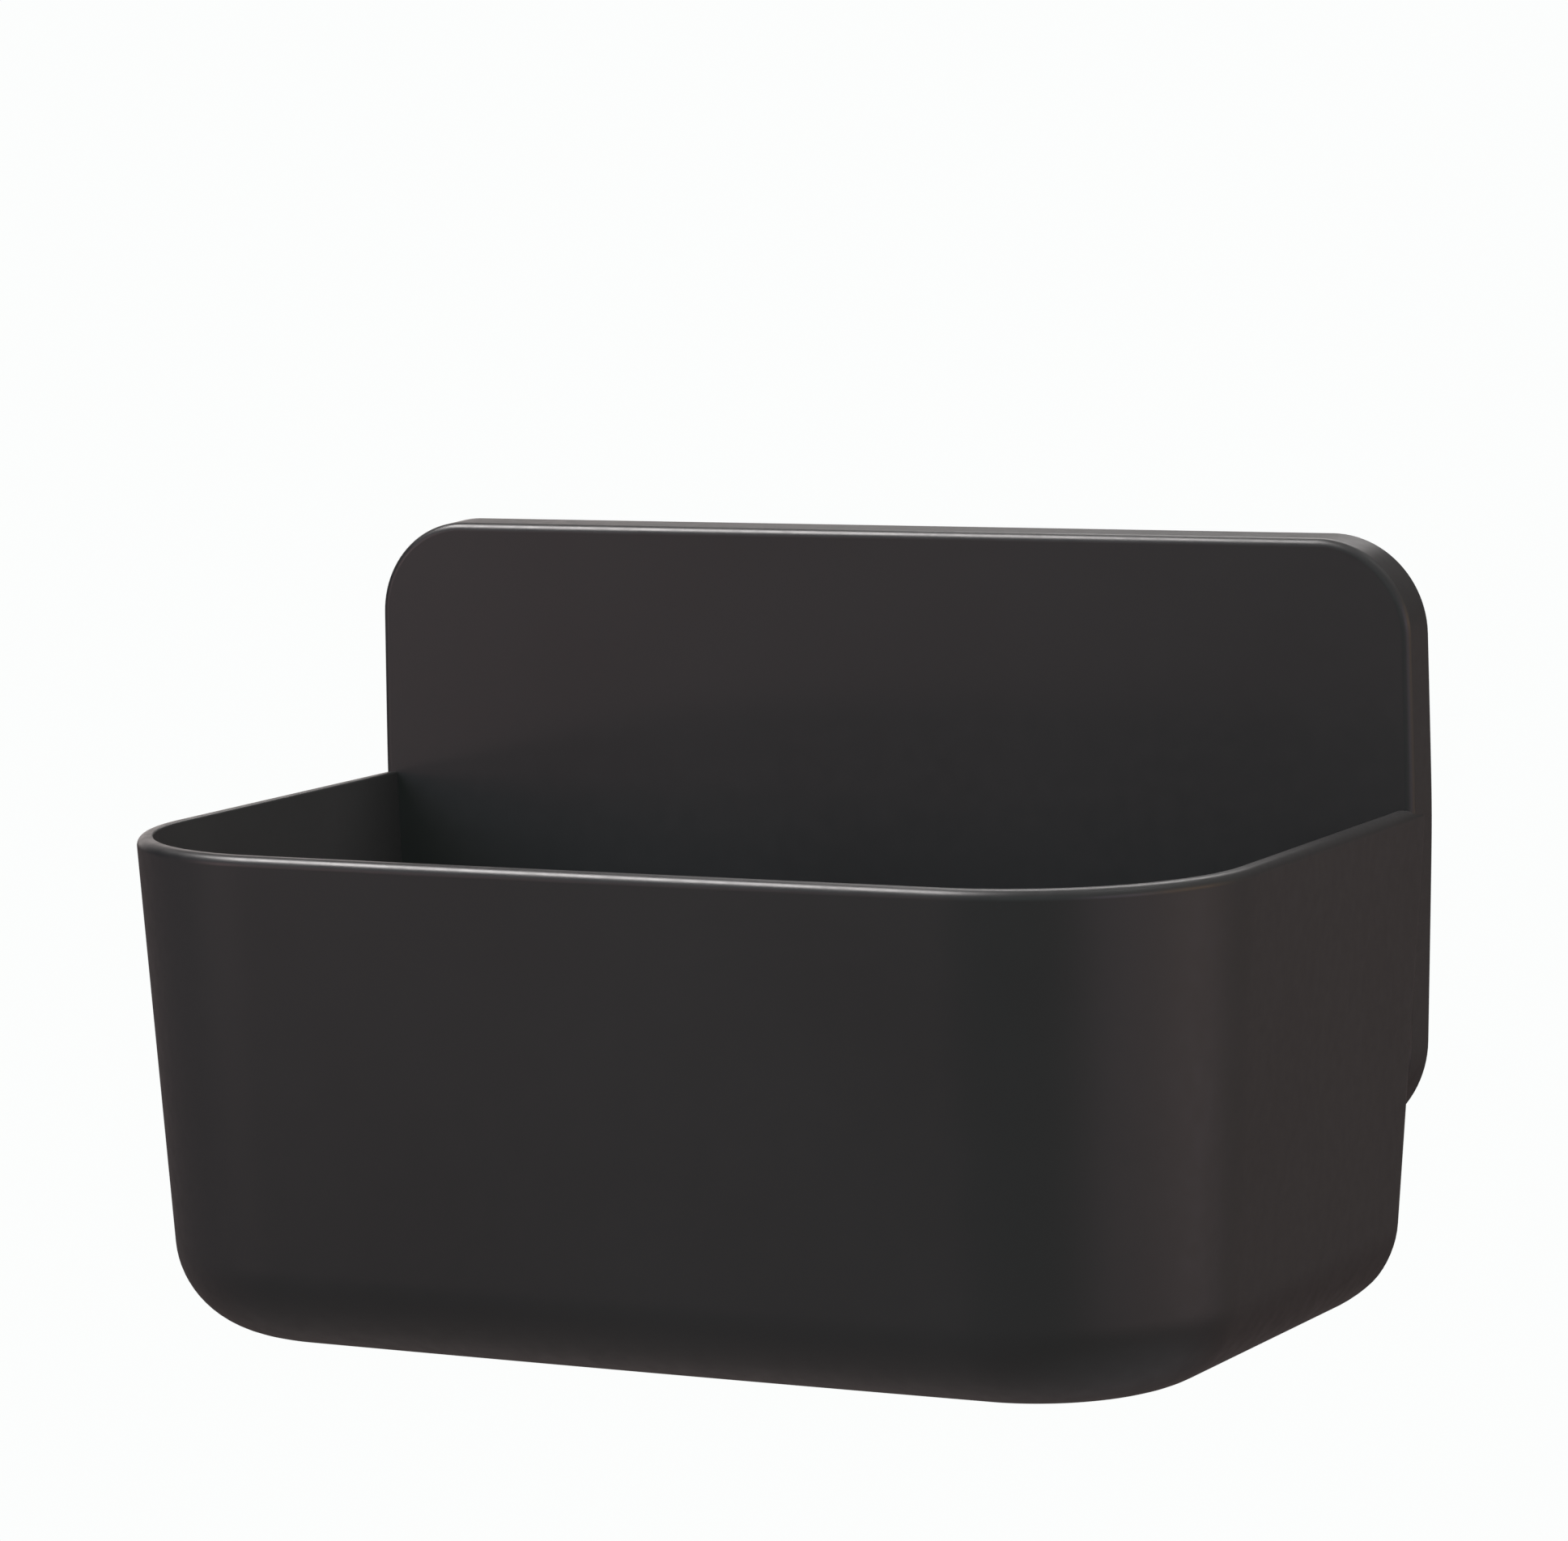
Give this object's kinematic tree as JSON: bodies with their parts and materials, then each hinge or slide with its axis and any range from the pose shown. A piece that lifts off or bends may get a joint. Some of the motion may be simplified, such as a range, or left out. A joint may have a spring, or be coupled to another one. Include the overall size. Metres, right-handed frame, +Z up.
{
  "type": "shower caddy",
  "caption": "Deep wall-hung shower basket with rounded corners and a tall rounded back panel, which slides up off two hidden plates stuck to the wall.",
  "frame": {"origin": "on the wall plane, below the middle of the caddy, level with the underside of the basket", "axes": "+Z up, +Y into the wall, +X to the right for someone facing the wall; the basket stands out towards -Y"},
  "size_m": [0.2784, 0.1655, 0.1816],
  "materials": {
    "shell_plastic": "satin dark brown-grey moulded plastic with a fine even texture",
    "hanger_plastic": "matt dark grey moulded plastic",
    "screw_steel": "stainless pan-head screws",
    "wall_plate_plastic": "milky white moulded plastic",
    "strip_foam": "soft white foam with an adhesive film",
    "bumper_rubber": "dark grey soft rubber"
  },
  "bodies": {
    "wall_mounts": {"left_wall_plate": "wall_plate_plastic", "left_inner_adhesive_strip": "strip_foam", "left_outer_adhesive_strip": "strip_foam", "right_wall_plate": "wall_plate_plastic", "right_inner_adhesive_strip": "strip_foam", "right_outer_adhesive_strip": "strip_foam"},
    "caddy": {"caddy_shell": "shell_plastic", "left_hanger_plate": "hanger_plastic", "left_hanger_screws": "screw_steel", "left_wall_bumper": "bumper_rubber", "right_hanger_plate": "hanger_plastic", "right_hanger_screws": "screw_steel", "right_wall_bumper": "bumper_rubber"}
  },
  "joints": [
    {"name": "lift_off", "type": "slide", "parent": "wall_mounts", "child": "caddy", "axis": [0, 0, 1], "range_m": [0, 0.024]}
  ]
}
